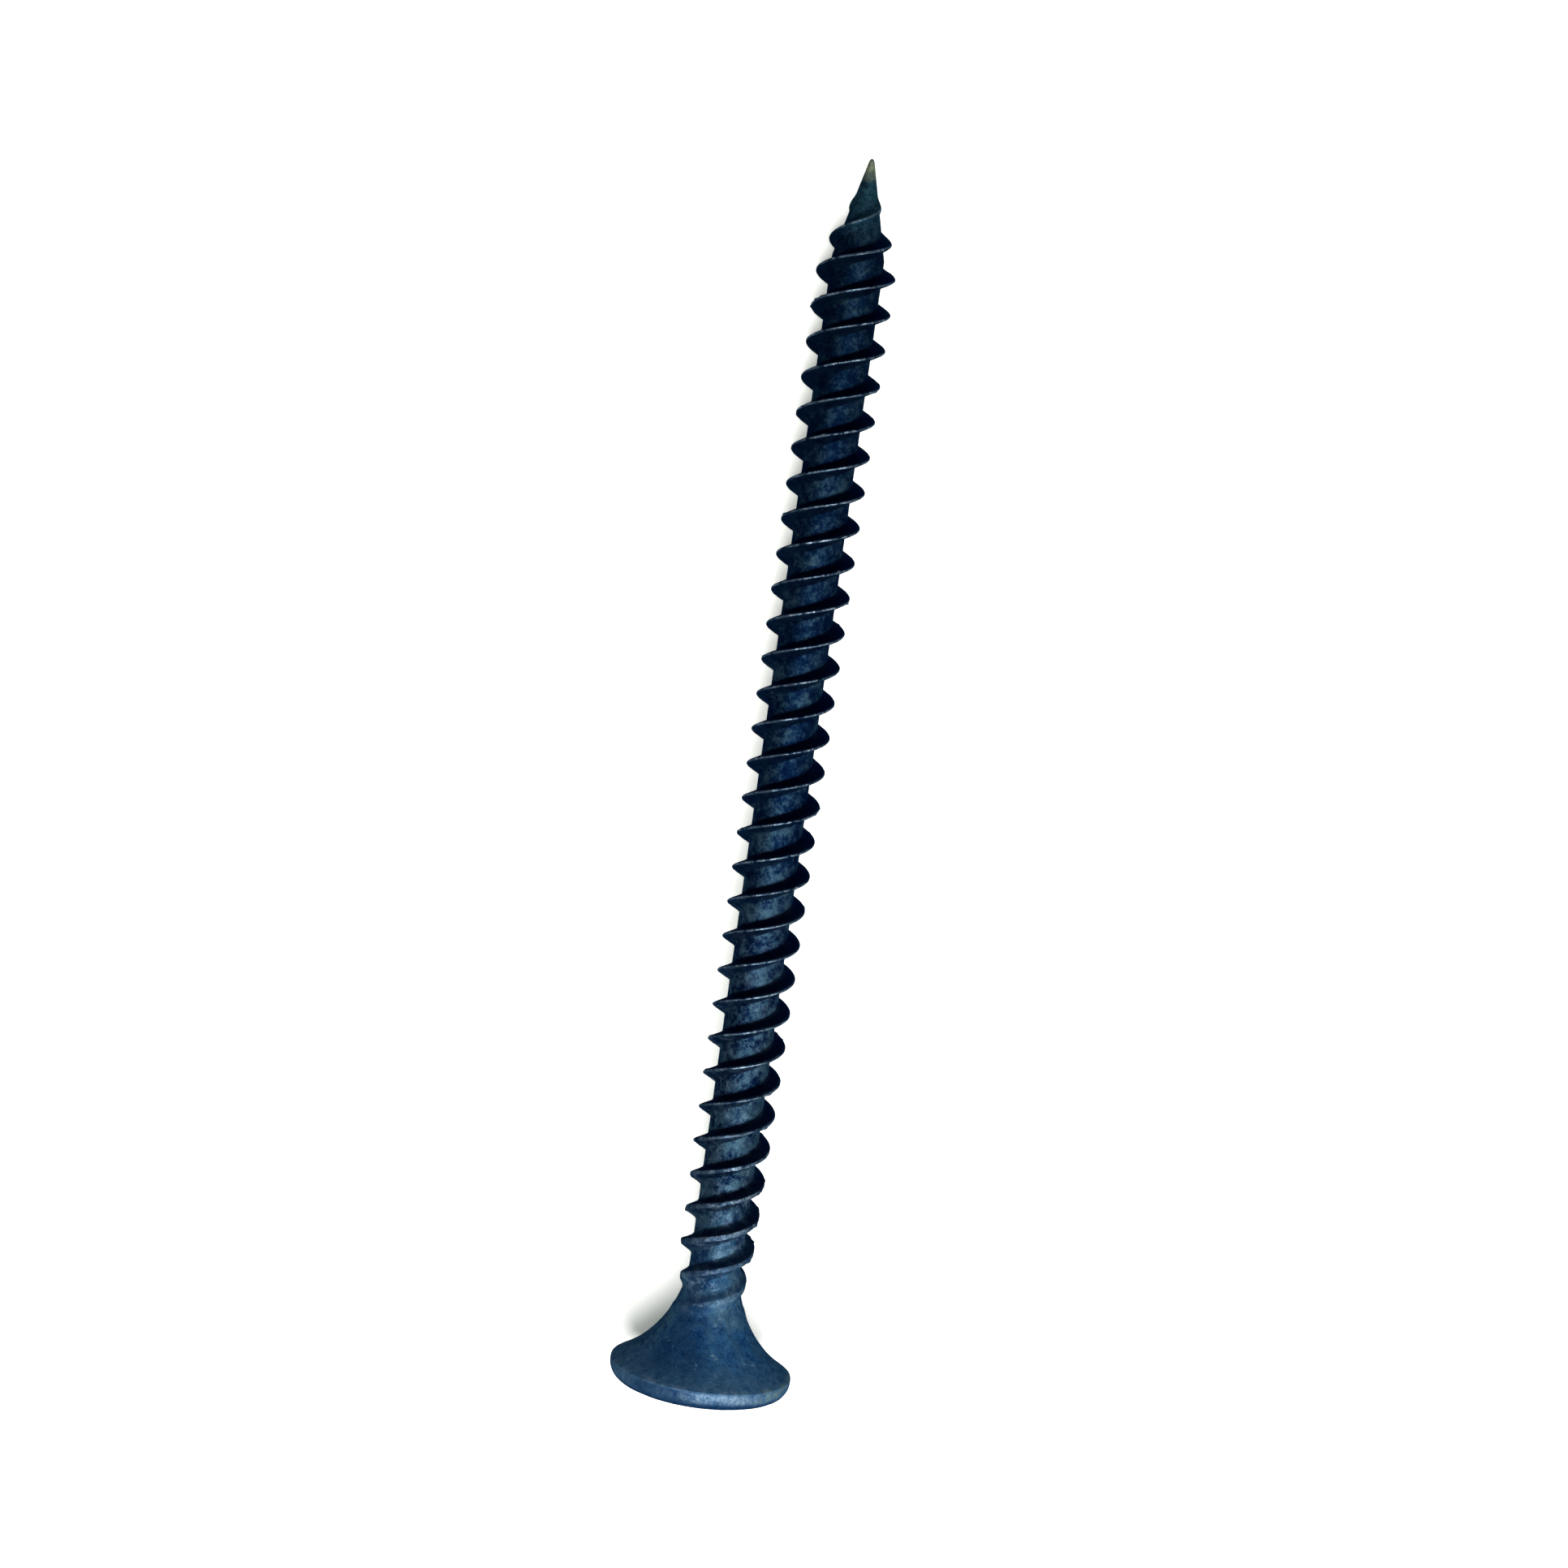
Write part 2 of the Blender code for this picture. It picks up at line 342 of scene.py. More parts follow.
class Term:
    """A number inside a node tree. Arithmetic on it adds Math nodes."""

    def __init__(self, tree, socket):
        self.tree = tree
        self.socket = socket

    def math(self, operation, *others):
        """Result of a Math node on this number and the others."""
        node = self.tree.nodes.new("ShaderNodeMath")
        node.operation = operation
        for index, value in enumerate((self,) + others):
            feed(self.tree, value, node.inputs[index])
        return Term(self.tree, node.outputs[0])

    def __add__(self, other):
        return self.math("ADD", other)

    def __radd__(self, other):
        return self.math("ADD", other)

    def __sub__(self, other):
        return self.math("SUBTRACT", other)

    def __rsub__(self, other):
        return (self * -1.0).math("ADD", other)

    def __mul__(self, other):
        return self.math("MULTIPLY", other)

    def __rmul__(self, other):
        return self.math("MULTIPLY", other)

    def __truediv__(self, other):
        return self.math("DIVIDE", other)

    def clamped(self, low, high):
        """The number, kept from low to high."""
        return self.math("MAXIMUM", low).math("MINIMUM", high)

    def root(self):
        """Square root, 0 for a negative number."""
        return self.math("MAXIMUM", 0.0).math("SQRT")

    def eased(self):
        """Smooth step of a number between 0 and 1, level at both ends."""
        inside = self.clamped(0.0, 1.0)
        return inside * inside * (3.0 - 2.0 * inside)

    def ramp(self, low, high):
        """0 at low, 1 at high, straight between them."""
        return ((self - low) / (high - low)).clamped(0.0, 1.0)


def feed(tree, value, socket):
    """Put a term, a socket or a plain value into an input."""
    if isinstance(value, Term):
        tree.links.new(value.socket, socket)
    elif isinstance(value, bpy.types.NodeSocket):
        tree.links.new(value, socket)
    else:
        socket.default_value = value


def add_node(tree, kind, inputs=None, **settings):
    """A node with its settings and inputs filled in."""
    node = tree.nodes.new(kind)
    for name, value in settings.items():
        setattr(node, name, value)
    for name, value in (inputs or {}).items():
        feed(tree, value, node.inputs[name])
    return node


def past(along, name):
    """0 before a named place along the screw and 1 past it."""
    return along.ramp(*PLACES[name])


def before(along, name):
    """1 before a named place along the screw and 0 past it."""
    return 1.0 - past(along, name)


def reached(value, name):
    """0 below a named pair of levels and 1 above it."""
    return value.ramp(*LEVELS[name])


def ranged(share, name):
    """A share from 0 to 1, brought to a named range."""
    least, most = RANGES[name]
    return share * (most - least) + least


class ScrewForm:
    """Geometry Nodes tree of the screw's outer skin, made from its named sizes."""

    def __init__(self, material):
        self.tree = bpy.data.node_groups.new("screw_form", "GeometryNodeTree")
        interface = self.tree.interface
        interface.new_socket("head top", in_out="INPUT", socket_type="NodeSocketGeometry")
        self.identifiers = {}
        for name in SCREW_SIZES:
            socket = interface.new_socket(name, in_out="INPUT", socket_type="NodeSocketFloat")
            self.identifiers[name] = socket.identifier
        interface.new_socket("screw", in_out="OUTPUT", socket_type="NodeSocketGeometry")
        self.given = self.tree.nodes.new("NodeGroupInput")
        self.size = {name: Term(self.tree, self.given.outputs[name]) for name in SCREW_SIZES}
        self.finish(self.skin(), material)

    def bugle(self, s):
        """Radius of the trumpet curve: an arc that runs out level on the core."""
        size = self.size
        drop = size["head radius"] - size["core radius"]
        reach = size["bugle length"]
        arc = (reach * reach + drop * drop) / (2.0 * drop)
        along = (size["rim height"] + reach - s).math("MAXIMUM", 0.0)
        return size["core radius"] + arc - (arc * arc - along * along).root()

    def blank(self, s):
        """Radius of the bare blank at a place along the axis, from flat to tip."""
        size = self.size
        head = size["head radius"].math("SMOOTH_MIN", self.bugle(s), size["rim edge softness"])
        to_tip = size["length"] - s
        taper = (size["core radius"] - size["tip radius"]) / size["point length"]
        cone = size["tip radius"] + taper * to_tip
        inside_tip = (size["tip radius"] - to_tip).math("MAXIMUM", 0.0)
        nose = (size["tip radius"] * size["tip radius"] - inside_tip * inside_tip).root()
        on_nose = inside_tip.math("GREATER_THAN", 0.0)
        body = head.math("MINIMUM", cone)
        body = body * (1.0 - on_nose) + nose.math("MINIMUM", body) * on_nose
        rounding = size["rim rounding"]
        inset = (rounding - s).math("MAXIMUM", 0.0)
        return body - (rounding - (rounding * rounding - inset * inset).root())

    def crest(self, s, turn):
        """Thread profile, 0 in the root and 1 on the crest, its edge, and the tipward flank where
        painted shade goes.

        Near the head the crest is blunt, because rolling hasn't filled it there.
        """
        size = self.size
        pitches = (s - size["first crest"]) / size["thread pitch"] - size["thread starts"] * turn
        tipward = ((pitches + 0.5).math("FRACT") - 0.5) * size["thread pitch"]
        away = tipward.math("ABSOLUTE")
        raw = 1.0 - s.ramp(size["neck"], size["raw crest end"])
        half_flat = size["crest flat"] / 2.0 + raw * size["raw crest flat"] / 2.0
        reach = half_flat + size["flank width"]
        straight = ((reach - away) / size["flank width"]).clamped(0.0, 1.0)
        profile = (straight * FLANK_STRAIGHT_SHARE
                   + straight.eased() * (1.0 - FLANK_STRAIGHT_SHARE))
        run_in = ((s - size["neck"]) / size["run in"]).eased()
        run_out = ((size["thread end"] - s) / size["run out"]).clamped(0.0, 1.0)
        lowest = size["lowest share"]
        rolled = lowest + (1.0 - lowest) * s / size["low turns end"]
        share = run_in.math("MINIMUM", run_out).math("MINIMUM", rolled)
        # The tipward flank, where painted shade darkens the coat.
        painted_flank_shade = tipward.ramp(*PAINTED_SHADE_BEGIN) * (1.0 - tipward.ramp(*PAINTED_SHADE_END))
        return profile * share, profile * share.ramp(*EDGE_FADE_IN), painted_flank_shade * share

    def turned_skin(self, rows, place):
        """Skin on a grid of rows along the screw and columns round it."""
        tree = self.tree
        grid = add_node(tree, "GeometryNodeMeshGrid", {
            "Size X": 1.0, "Size Y": 1.0, "Vertices X": rows, "Vertices Y": COLUMNS + 1})
        position = add_node(tree, "GeometryNodeInputPosition")
        parts = add_node(tree, "ShaderNodeSeparateXYZ", {"Vector": position.outputs[0]})
        along = Term(tree, parts.outputs["X"]) + 0.5
        turn = Term(tree, parts.outputs["Y"]) + 0.5
        s = place(along, turn)
        crest, edge, painted_flank_shade = self.crest(s, turn)
        radius = self.blank(s) + crest * self.size["thread depth"]
        angle = turn * (2.0 * math.pi)
        spot = add_node(tree, "ShaderNodeCombineXYZ", {
            "X": s, "Y": radius * angle.math("COSINE"), "Z": radius * angle.math("SINE")})
        marked = grid.outputs["Mesh"]
        # The third mark tells where painted shade goes on the tipward flank.
        for name, value in (("crest", crest), ("edge", edge), ("painted_flank_shade", painted_flank_shade),
                            ("side", angle.math("COSINE")), ("along", s / self.size["length"])):
            marked = add_node(tree, "GeometryNodeStoreNamedAttribute", {
                "Geometry": marked, "Name": name, "Value": value},
                data_type="FLOAT", domain="POINT").outputs[0]
        placed = add_node(tree, "GeometryNodeSetPosition", {
            "Geometry": marked, "Position": spot.outputs[0]})
        return placed.outputs[0]

    def head_place(self, along, _turn):
        """Place of a row of the head, rows closer together towards the rim."""
        return self.size["neck"] * along.math("POWER", HEAD_ROW_POWER)

    def shank_place(self, along, turn):
        """Place of a row that follows the helix, rows closer together towards the crests."""
        size = self.size
        lead = size["thread pitch"] * size["thread starts"]
        step = size["thread pitch"] / float(ROWS_PER_PITCH)
        even = size["neck"] - lead - step + along * (step * float(SHANK_ROWS))
        phase = (even - size["first crest"]) / size["thread pitch"] * (2.0 * math.pi)
        pull = phase.math("SINE") * size["thread pitch"] * (ROW_GATHERING / (2.0 * math.pi))
        place = even - pull + lead * turn
        return place.math("MAXIMUM", size["neck"]).math("MINIMUM", size["thread end"])

    def point_place(self, along, _turn):
        """Place of a row of the bare point, rows closer together towards the tip."""
        left = (1.0 - along).math("POWER", POINT_ROW_POWER)
        return self.size["length"] - (self.size["length"] - self.size["thread end"]) * left

    def skin(self):
        """Head, threaded shank and bare point, welded with the given head top."""
        join = add_node(self.tree, "GeometryNodeJoinGeometry")
        skins = (self.turned_skin(HEAD_ROWS, self.head_place),
                 self.turned_skin(SHANK_ROWS + 1, self.shank_place),
                 self.turned_skin(POINT_ROWS, self.point_place),
                 self.given.outputs["head top"])
        for skin in skins:
            self.tree.links.new(skin, join.inputs[0])
        weld = add_node(self.tree, "GeometryNodeMergeByDistance", {
            "Geometry": join.outputs[0], "Distance": WELD_DISTANCE})
        return weld.outputs[0]

    def noise(self, scale, detail, seed):
        """Noise between about -1 and 1 over the screw, its scale given per metre."""
        node = add_node(self.tree, "ShaderNodeTexNoise", {
            "W": NOISE_SEED + seed, "Scale": scale, "Detail": detail}, noise_dimensions="4D")
        return Term(self.tree, node.outputs[0]) * 2.0 - 1.0

    def stored(self, name):
        """An attribute that the skin carries."""
        node = add_node(self.tree, "GeometryNodeInputNamedAttribute", {"Name": name},
                        data_type="FLOAT")
        return Term(self.tree, node.outputs[0])

    def finish(self, skin, material):
        """Uneven forged skin, chipped crests, and the finished mesh with its material."""
        tree = self.tree
        along = self.stored("along")
        forged = sum(self.noise(scale, detail, seed) * share
                     for scale, detail, seed, share in FORGING)
        held_back = past(along, "broken crests end") * CHIPS_HELD_BACK
        chips = (self.noise(*CHIPPING) - held_back).clamped(0.0, 1.0)
        on_crest = self.stored("crest").ramp(*CHIPPED_CREST)
        dented = ranged(before(along, "dented head end"), "dents")
        dents = forged * self.size["dent depth"] * dented
        shift = dents - chips * on_crest * self.size["chip depth"]
        normal = add_node(tree, "GeometryNodeInputNormal")
        offset = add_node(tree, "ShaderNodeVectorMath", {
            0: normal.outputs[0], "Scale": shift}, operation="SCALE")
        worn = add_node(tree, "GeometryNodeSetPosition", {
            "Geometry": skin, "Offset": offset.outputs[0]})
        real = add_node(tree, "GeometryNodeRealizeInstances", {"Geometry": worn.outputs[0]})
        coated = add_node(tree, "GeometryNodeSetMaterial", {
            "Geometry": real.outputs[0], "Material": material})
        out = add_node(tree, "NodeGroupOutput")
        tree.links.new(coated.outputs[0], out.inputs[0])


def cross_outline(span, width, corner_span):
    """Cross with rounded wing ends and cut inner corners, as points in the head's plane."""
    half = width / 2
    centre = span / 2 - RECESS_CORNER_ROUND
    outline = []
    for wing in range(4):
        turn = Matrix.Rotation(wing * math.pi / 2, 2)
        outline.append(turn @ Vector((corner_span / 2, -half)))
        for side, start in ((-1, -math.pi / 2), (1, 0.0)):
            for step in range(RECESS_CORNER_POINTS):
                angle = start + math.pi / 2 * step / (RECESS_CORNER_POINTS - 1)
                arm = RECESS_CORNER_ROUND * Vector((math.cos(angle), math.sin(angle)))
                middle = Vector((centre, side * (half - RECESS_CORNER_ROUND)))
                outline.append(turn @ (middle + arm))
        outline.append(turn @ Vector((corner_span / 2, half)))
    return outline


def ring_corners(mesh, radius):
    """Corners of a circle on the flat of the head, one to each column of the skin."""
    turns = [2 * math.pi * column / COLUMNS for column in range(COLUMNS)]
    return [mesh.verts.new((0.0, radius * math.cos(turn), radius * math.sin(turn)))
            for turn in turns]


def recess_corners(mesh, mouth):
    """Corners of the recess at each of its levels, with its mouth marked."""
    levels = []
    for index, (depth, span, width, corner_span) in enumerate(RECESS_LEVELS):
        outline = cross_outline(span, width, corner_span)
        levels.append([mesh.verts.new((depth, point.x, point.y)) for point in outline])
        for corner in levels[-1]:
            corner[mouth] = 1.0 if index in RECESS_MOUTH_LEVELS else 0.0
    return levels


def closed_pairs(loop):
    """Each corner of a closed loop with the next one."""
    return list(zip(loop, loop[1:] + loop[:1]))


def head_top_mesh():
    """Flat of the head with its cross recess, in the screw's own frame, axis along +X."""
    mesh = bmesh.new()
    mouth = mesh.verts.layers.float.new("mouth")
    rim_radius = SCREW_SIZES["head radius"] - SCREW_SIZES["rim rounding"]
    rings = [ring_corners(mesh, radius) for radius in (rim_radius,) + TOP_RING_RADII]
    levels = recess_corners(mesh, mouth)
    for loops in (rings, levels):
        for first, second in zip(loops, loops[1:]):
            for outer, inner in zip(closed_pairs(first), closed_pairs(second)):
                mesh.faces.new((outer[0], outer[1], inner[1], inner[0]))
    apex = mesh.verts.new((RECESS_DEPTH, 0.0, 0.0))
    for pair in closed_pairs(levels[-1]):
        mesh.faces.new(pair + (apex,))
    edges = [mesh.edges.get(pair) for loop in (rings[-1], levels[0])
             for pair in closed_pairs(loop)]
    bmesh.ops.triangle_fill(mesh, use_beauty=True, edges=edges)
    data = bpy.data.meshes.new("head_top")
    mesh.to_mesh(data)
    mesh.free()
    return data


def screw_place():
    """Matrix from the screw's own frame to the frame's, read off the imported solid."""
    node = frame["nodes"]["drywall_screw"]
    tip = max((vertex.co for vertex in node.data.vertices), key=lambda spot: spot.x)
    mounts = {mount["name"]: mount for mount in frame["record"]["mounts"]}
    towards_tip = -Vector(mounts["head_face"]["axis"]).normalized()
    flat_centre = tip - towards_tip * SCREW_SIZES["length"]
    across = Vector((0.0, 1.0, 0.0))
    up = towards_tip.cross(across)
    turn = Matrix((towards_tip, across, up)).transposed().to_4x4()
    return Matrix.Translation(flat_centre) @ turn


def formed_skin(material):
    """Plain mesh that the Geometry Nodes tree makes, from the flat of the head on."""
    base = bpy.data.objects.new("screw_base", head_top_mesh())
    bpy.context.scene.collection.objects.link(base)
    form = ScrewForm(material)
    modifier = base.modifiers.new("screw_form", "NODES")
    modifier.node_group = form.tree
    for name, value in SCREW_SIZES.items():
        modifier[form.identifiers[name]] = value
    bpy.context.view_layer.update()
    evaluated = base.evaluated_get(bpy.context.evaluated_depsgraph_get())
    skin = bpy.data.meshes.new_from_object(evaluated)
    base.modifiers.remove(modifier)
    bpy.data.objects.remove(base, do_unlink=True)
    return skin


def build_screw(material):
    """The finished screw as one plain mesh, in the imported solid's place."""
    skin = formed_skin(material)
    skin.name = "screw_skin"
    skin.transform(screw_place())
    mesh = bmesh.new()
    mesh.from_mesh(skin)
    bmesh.ops.recalc_face_normals(mesh, faces=mesh.faces)
    mesh.to_mesh(skin)
    mesh.free()
    skin.shade_smooth()
    skin.set_sharp_from_angle(angle=SHARP_EDGE)
    screw = bpy.data.objects.new("screw_skin", skin)
    bpy.context.scene.collection.objects.link(screw)
    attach(screw, "root")
    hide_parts("drywall_screw")


class Finish:
    """Shader tree of one finish, with its object coordinates in millimetres."""

    def __init__(self, name):
        self.material = bpy.data.materials.new(name)
        self.material.use_nodes = True
        self.tree = self.material.node_tree
        self.shader = self.tree.nodes["Principled BSDF"]
        coordinates = add_node(self.tree, "ShaderNodeTexCoord")
        scaled = add_node(self.tree, "ShaderNodeVectorMath", {
            0: coordinates.outputs["Object"], "Scale": 1 / MM}, operation="SCALE")
        self.place = scaled.outputs[0]
        self.noises = {}

    def attribute(self, name):
        """A number that the skin carries from point to point."""
        node = add_node(self.tree, "ShaderNodeAttribute", attribute_name=name)
        return Term(self.tree, node.outputs["Fac"])

    def coordinate(self, axis):
        """Place along X, Y or Z in millimetres."""
        parts = add_node(self.tree, "ShaderNodeSeparateXYZ", {"Vector": self.place})
        return Term(self.tree, parts.outputs[axis])

    def noise(self, name):
        """Noise from 0 to 1 in a named pattern."""
        if name not in self.noises:
            scale, detail, roughness, seed = PATTERNS[name]
            node = add_node(self.tree, "ShaderNodeTexNoise", {
                "Vector": self.place, "W": NOISE_SEED + seed, "Scale": scale,
                "Detail": detail, "Roughness": roughness}, noise_dimensions="4D")
            self.noises[name] = Term(self.tree, node.outputs[0])
        return self.noises[name]

    def patches(self, name):
        """Patches of a named pattern, 1 inside them and 0 between them."""
        return reached(self.noise(name), name)

    def grains(self, scale, seed):
        """Distance from the middle of scattered grains, 0 at each grain's centre."""
        node = add_node(self.tree, "ShaderNodeTexVoronoi", {
            "Vector": self.place, "W": NOISE_SEED + seed, "Scale": scale},
            voronoi_dimensions="4D")
        return Term(self.tree, node.outputs["Distance"])

    def mixed(self, share, below, above):
        """Colour that goes from one to another with the share."""
        node = add_node(self.tree, "ShaderNodeMix", data_type="RGBA", blend_type="MIX")
        feed(self.tree, share, node.inputs[MIX_FACTOR])
        feed(self.tree, below, node.inputs[MIX_BELOW])
        feed(self.tree, above, node.inputs[MIX_ABOVE])
        return node.outputs[MIX_RESULT]

    def bumped(self, height, distance, strength, under=None):
        """Normal of a rough surface, its height given by a number from 0 to 1."""
        inputs = {"Height": height, "Distance": distance, "Strength": strength}
        if under is not None:
            inputs["Normal"] = under
        return add_node(self.tree, "ShaderNodeBump", inputs).outputs[0]


def blotches(finish):
    """Light and dark blotches of the coat, from 0 to 1: broad clouds with a finer grain."""
    return finish.patches("cloud") * CLOUD_SHARE + finish.patches("grain") * (1.0 - CLOUD_SHARE)


def shank_colour(finish, crest, along, light):
    """Blue-black coat of the shank, paler in the thread's root and on the first turns."""
    colour = finish.mixed(reached(light, "navy"), COAT["night"], COAT["navy"])
    in_root = ranged(1.0 - reached(crest, "root end"), "paler root")
    lighter = light + before(along, "pale turns end") * FIRST_TURNS_LIGHT
    return finish.mixed(reached(lighter, "pale") * in_root, colour, COAT["steel blue"])


def trumpet_colour(finish, along, light):
    """Bluer coat of the head: crystals, rubbed grey patches, painted light on the flare and far
    left, and painted shade.
    """
    crystal = finish.patches("crystals")
    speckled = crystal * CRYSTAL_SHARE + light * (1.0 - CRYSTAL_SHARE)
    colour = finish.mixed(speckled, COAT["head navy"], COAT["head blue"])
    side = finish.attribute("side")
    rubbed = finish.patches("rubbed trumpet") * ranged(past(along, "neck"), "rubbed trumpet")
    # Painted light, teal grey, on the far left of the head.
    painted_left_light = side.ramp(*PAINTED_LIGHT_LEFT) * crystal * STRENGTHS["painted left light"]
    colour = finish.mixed(rubbed.math("MAXIMUM", painted_left_light), colour, COAT["teal grey"])
    # Painted light, a paler blue, on the flare near the rim.
    flare = before(along, "flare end") * finish.patches("flare")
    colour = finish.mixed(flare * STRENGTHS["flare"], colour, COAT["painted flare light"])
    # Painted shade over the head and its rim.
    return finish.mixed(painted_head_shade(finish, along, side), colour, COAT["painted shade"])


def painted_head_shade(finish, along, side):
    """Painted shade down the left middle of the head and its rim band, and along the lower edge of
    its rim.
    """
    left_middle = side.ramp(*LEFT_MIDDLE) * (1.0 - side.ramp(*LEFT_MIDDLE_END))
    uneven = ranged(reached(finish.noise("cloud"), "painted shade"), "painted shade")
    on_trumpet = left_middle * past(along, "painted shade on trumpet") * uneven
    on_band = before(along, "band end") * past(along, "band") * left_middle
    on_edge = past(along, "edge") * before(along, "edge end")
    painted_shade = on_trumpet.math("MAXIMUM", on_band * STRENGTHS["band painted shade"])
    return painted_shade.math("MAXIMUM", on_edge * STRENGTHS["edge painted shade"])


def coat_colour(finish, crest, along, painted_flank_shade):
    """Mottled blue-black coat, bluer and lighter at the head, with painted shade behind the
    crests.
    """
    light = blotches(finish)
    colour = shank_colour(finish, crest, along, light)
    on_head = before(along, "head end") * STRENGTHS["head coat"]
    colour = finish.mixed(on_head, colour, trumpet_colour(finish, along, light))
    darker = past(along, "dark turns") * STRENGTHS["dark turns"]
    colour = finish.mixed(darker, colour, COAT["teal black"])
    grainy = ranged(reached(finish.noise("grain"), "cone"), "cone")
    colour = finish.mixed(past(along, "cone") * grainy, colour, COAT["point teal"])
    # Painted shade, near black, on the tipward flanks behind the crests.
    return finish.mixed(painted_flank_shade * STRENGTHS["painted_flank_shade"], colour, COAT["painted flank shade"])


def crest_wear(finish, along):
    """Bare steel on the thread's edges, broken where the coat holds, less near the head."""
    used = ranged(past(along, "worn crests"), "worn crests")
    on_edge = reached(finish.attribute("edge"), "bare edge")
    return on_edge * finish.patches("crest breaks") * used


def rim_wear(finish, along):
    """Rubbed patches on the rim, most on its upper right, partly a painted highlight, and a
    painted highlight line on its ridge.
    """
    side = finish.coordinate("Y")
    # The rubbed patches gather on the upper right, where they are partly a painted highlight.
    scuffed_with_painted_highlight = side.ramp(*SCUFF_BEGIN) * (1.0 - side.ramp(*SCUFF_END))
    on_band = before(along, "rubbed band end") * past(along, "rubbed band")
    patches = reached(finish.noise("rim patches") + scuffed_with_painted_highlight * SCUFF_SPREAD, "rim patches")
    worn = on_band * patches * ranged(scuffed_with_painted_highlight, "scuffed rim and painted highlight") * finish.patches("rim crumbs")
    # Painted highlight: a thin light line along the ridge between rim and trumpet.
    on_ridge = before(along, "ridge end") * past(along, "painted_ridge_line")
    painted_ridge_line = on_ridge * finish.patches("ridge breaks") * STRENGTHS["painted_ridge_line"]
    return worn.math("MAXIMUM", painted_ridge_line)


def pale_rubs(finish, along, painted_flank_shade):
    """Pale smears over the first turns, and a few flecks on the trumpet."""
    rubs = finish.noise("rubs")
    on_turns = past(along, "first turns") * before(along, "smears end") * (1.0 - painted_flank_shade)
    on_trumpet = past(along, "flecked trumpet") * before(along, "flecks end")
    smears = reached(rubs, "smears") * on_turns * STRENGTHS["smears"]
    flecks = reached(rubs, "flecks") * on_trumpet * STRENGTHS["flecks"]
    return smears + flecks


def specks(finish):
    """Scattered pale specks of dust, ragged in outline."""
    grains = finish.grains(SPECK_SCALE, SPECK_SEED)
    ragged = grains + finish.noise("ragged") * SPECK_RAGGEDNESS
    return (1.0 - reached(ragged, "speck end")) * finish.patches("dusty")


def wear_places(finish, along):
    """Where the coat is worn off: the crests, the rim with painted highlights, the point and the
    recess's mouth.
    """
    return {
        "crests": crest_wear(finish, along),
        "rim": rim_wear(finish, along),
        "point": past(along, "bare point") * finish.patches("bare point"),
        "mouth": reached(finish.attribute("mouth"), "worn mouth") * finish.patches("mouth breaks"),
    }


def surface_colour(finish, along, worn):
    """Coat, and over it bare steel with painted glints, smears, dust and the brassy point, one
    after another.
    """
    painted_flank_shade = finish.attribute("painted_flank_shade")
    # Painted glints: brighter steel in spots along the worn crests.
    steel = finish.mixed(finish.patches("glint"), COAT["worn steel"], COAT["painted glint steel"])
    past_green = finish.coordinate("Y").ramp(*GREEN_END)
    rim_steel = finish.mixed(past_green, COAT["pale green"], COAT["rubbed rim and painted highlight"])
    layers = (
        (worn["crests"] * STRENGTHS["steel"], steel),
        (worn["mouth"] * STRENGTHS["mouth"], COAT["worn steel"]),
        (worn["rim"] * STRENGTHS["rim"], rim_steel),
        (pale_rubs(finish, along, painted_flank_shade), COAT["smear"]),
        (specks(finish) * STRENGTHS["dust"], COAT["dust"]),
        # Worn point, its brassy tone partly a painted highlight.
        (worn["point"] * STRENGTHS["worn point and painted highlight"], COAT["worn point and painted highlight"]),
    )
    colour = coat_colour(finish, finish.attribute("crest"), along, painted_flank_shade)
    for share, layer in layers:
        colour = finish.mixed(share, colour, layer)
    return colour


def phosphate_finish():
    """Blue-black phosphate coat, worn to steel on crests and rim, with dust specks and painted
    light and shade.
    """
    finish = Finish("black_phosphate")
    along = finish.attribute("along")
    worn = wear_places(finish, along)
    bare = worn["crests"]
    for place, share in BARE_SHARES.items():
        bare = bare.math("MAXIMUM", worn[place] * share)
    fine = finish.noise("fine")
    metallic = ranged(past(along, "head end"), "metallic") + bare * BARE_METALLIC
    roughness = ranged(fine, "roughness") - bare * BARE_SMOOTHNESS
    crystals = finish.bumped(fine, CRYSTAL_HEIGHT, COAT_BUMP)
    pitted = finish.bumped(finish.noise("grain"), PIT_HEIGHT, COAT_BUMP, crystals)
    shader = finish.shader
    feed(finish.tree, surface_colour(finish, along, worn), shader.inputs["Base Color"])
    feed(finish.tree, metallic, shader.inputs["Metallic"])
    feed(finish.tree, roughness, shader.inputs["Roughness"])
    feed(finish.tree, pitted, shader.inputs["Normal"])
    shader.inputs["Specular IOR Level"].default_value = 0.0
    shader.inputs["Specular Tint"].default_value = EDGE_TINT
    return finish.material


def table_finish():
    """White matt table top. The camera sees it bright, as the photograph does, with the shadow."""
    finish = Finish("white_table")
    rays = add_node(finish.tree, "ShaderNodeLightPath")
    seen = Term(finish.tree, rays.outputs["Is Camera Ray"])
    colour = finish.mixed(seen, TABLE_REFLECTED, TABLE_SEEN)
    shader = finish.shader
    feed(finish.tree, colour, shader.inputs["Base Color"])
    shader.inputs["Roughness"].default_value = TABLE_ROUGHNESS
    shader.inputs["Emission Color"].default_value = TABLE_GLOW
    feed(finish.tree, seen * TABLE_GLOW_STRENGTH, shader.inputs["Emission Strength"])
    grain = finish.bumped(finish.noise("table grain"), TABLE_GRAIN_HEIGHT, TABLE_BUMP)
    feed(finish.tree, grain, shader.inputs["Normal"])
    return finish.material


